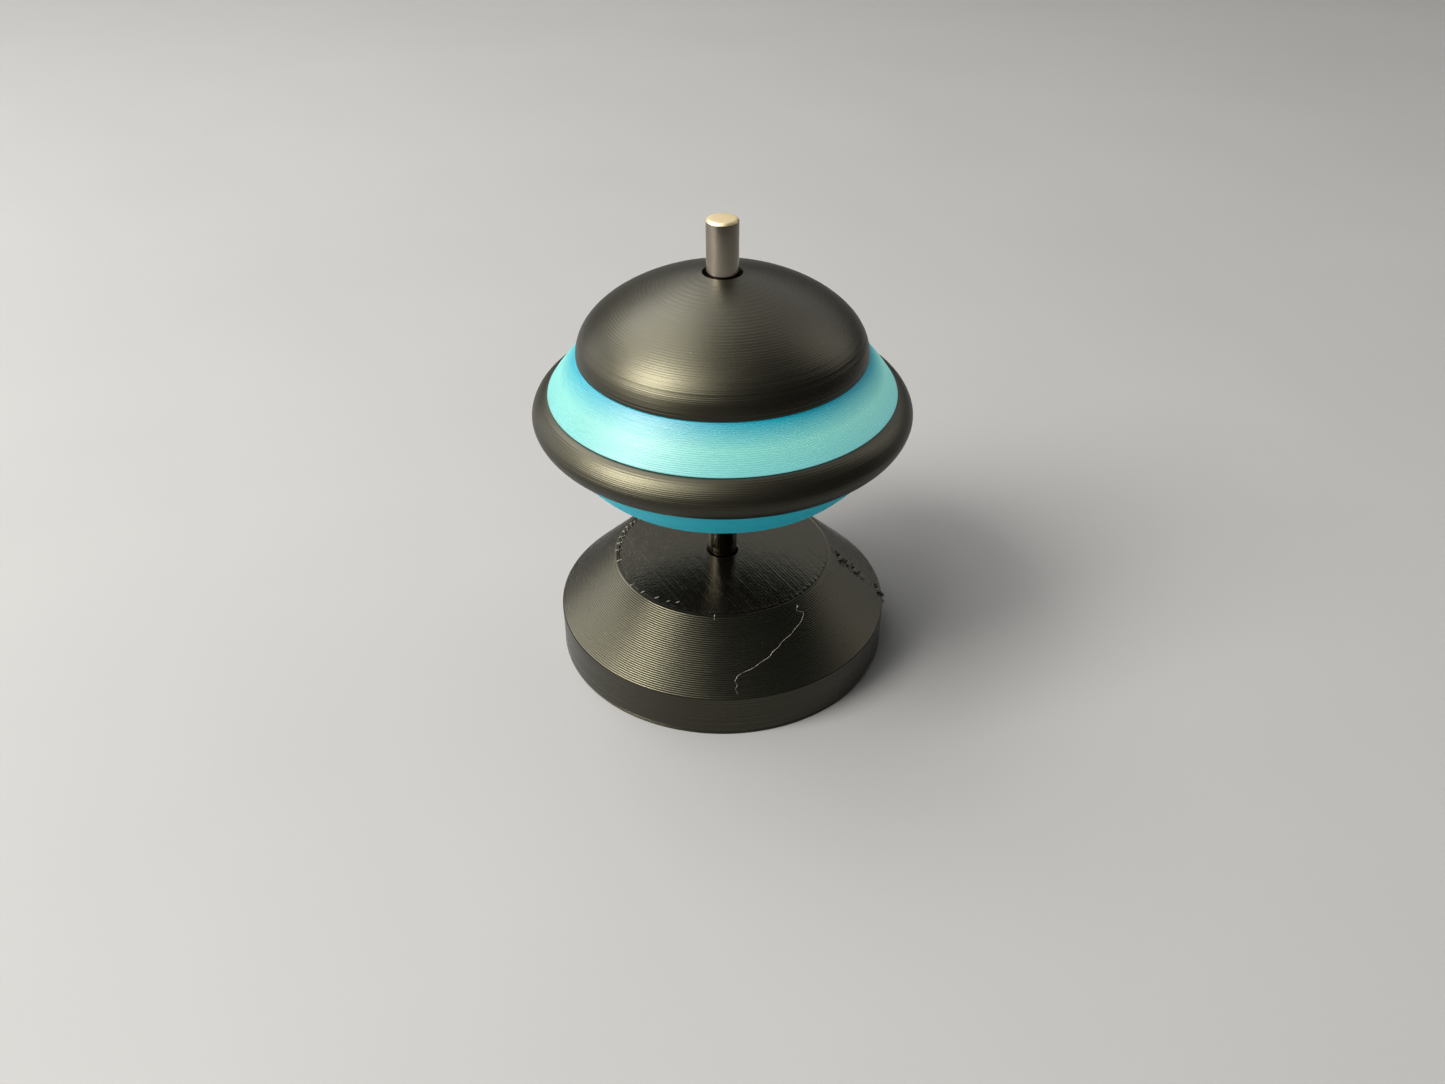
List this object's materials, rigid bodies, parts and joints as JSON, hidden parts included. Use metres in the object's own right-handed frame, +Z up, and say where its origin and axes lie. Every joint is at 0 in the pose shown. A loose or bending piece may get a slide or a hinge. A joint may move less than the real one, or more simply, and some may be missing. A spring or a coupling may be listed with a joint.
{
  "type": "light-up spinning top",
  "caption": "Saucer-shaped light-up top on a steel rod that drops into a bearing in a small round printed stand.",
  "frame": {"origin": "centre of the stand's underside, on the rod's axis", "axes": "+Z up along the rod, +X along the slide of the switch's slug"},
  "size_m": [0.049, 0.049, 0.0613],
  "materials": {
    "black_print": "satin black printed plastic with fine layer lines",
    "cyan_print": "silky translucent cyan printed plastic",
    "white_print": "matte white printed plastic",
    "bright_steel": "ground bright steel",
    "bearing_steel": "polished bearing steel",
    "screw_steel": "zinc-plated steel",
    "nickel_strip": "nickel-plated brass strip",
    "cell_can": "satin nickel-plated can",
    "foot_rubber": "matte black rubber",
    "nylon": "natural nylon",
    "board": "green solder mask",
    "led_resin": "clear resin",
    "chip_epoxy": "matte moulded epoxy",
    "resistor_body": "glazed black on ceramic"
  },
  "bodies": {
    "stand": {"base_shell": "black_print", "base_cover": "black_print", "foot_ring": "foot_rubber", "thrust_pad": "nylon", "base_screw_1": "screw_steel", "base_screw_2": "screw_steel", "base_screw_3": "screw_steel", "bearing_outer_race": "bearing_steel"},
    "bearing_inner": {"bearing_inner_race": "bearing_steel"},
    "bearing_cage": {"bearing_cage": "nylon", "bearing_ball_1": "bearing_steel", "bearing_ball_2": "bearing_steel", "bearing_ball_3": "bearing_steel", "bearing_ball_4": "bearing_steel", "bearing_ball_5": "bearing_steel", "bearing_ball_6": "bearing_steel", "bearing_ball_7": "bearing_steel"},
    "top": {"shaft": "bright_steel", "lower_collar": "bright_steel", "upper_collar": "bright_steel", "lower_grub_screw": "screw_steel", "upper_grub_screw": "screw_steel", "hub": "white_print", "upper_cap": "black_print", "upper_light_band": "cyan_print", "rim_ring": "black_print", "lower_light_band": "cyan_print", "bottom_cover": "black_print", "case_screw_1": "screw_steel", "case_screw_2": "screw_steel", "case_screw_3": "screw_steel", "battery_tray": "white_print", "button_cell_1": "cell_can", "button_cell_2": "cell_can", "button_cell_3": "cell_can", "upper_cell_strap": "nickel_strip", "lower_cell_strap": "nickel_strip", "positive_tab": "nickel_strip", "negative_tab": "nickel_strip", "circuit_board": "board", "led_upper_1": "led_resin", "led_upper_2": "led_resin", "led_upper_3": "led_resin", "led_lower_1": "led_resin", "led_lower_2": "led_resin", "led_lower_3": "led_resin", "control_chip": "chip_epoxy", "resistor": "resistor_body", "switch_housing": "white_print", "switch_contact": "nickel_strip"},
    "switch_slug": {"switch_slug": "bright_steel"}
  },
  "joints": [
    {"name": "spin", "type": "hinge", "parent": "stand", "child": "bearing_inner", "pos_m": [0, 0, 0.007], "axis": [0, 0, 1], "continuous": true},
    {"name": "cage_roll", "type": "hinge", "parent": "stand", "child": "bearing_cage", "pos_m": [0, 0, 0.007], "axis": [0, 0, 1], "continuous": true},
    {"name": "top_lift", "type": "slide", "parent": "bearing_inner", "child": "top", "axis": [0, 0, 1], "range_m": [0, 0.03]},
    {"name": "switch_slide", "type": "slide", "parent": "top", "child": "switch_slug", "axis": [1, 0, 0], "range_m": [0, 0.0014], "stiffness_N_per_m": 2}
  ],
  "couplings": [
    {"joint": "cage_roll", "follows": "spin", "ratio": 0.366}
  ]
}
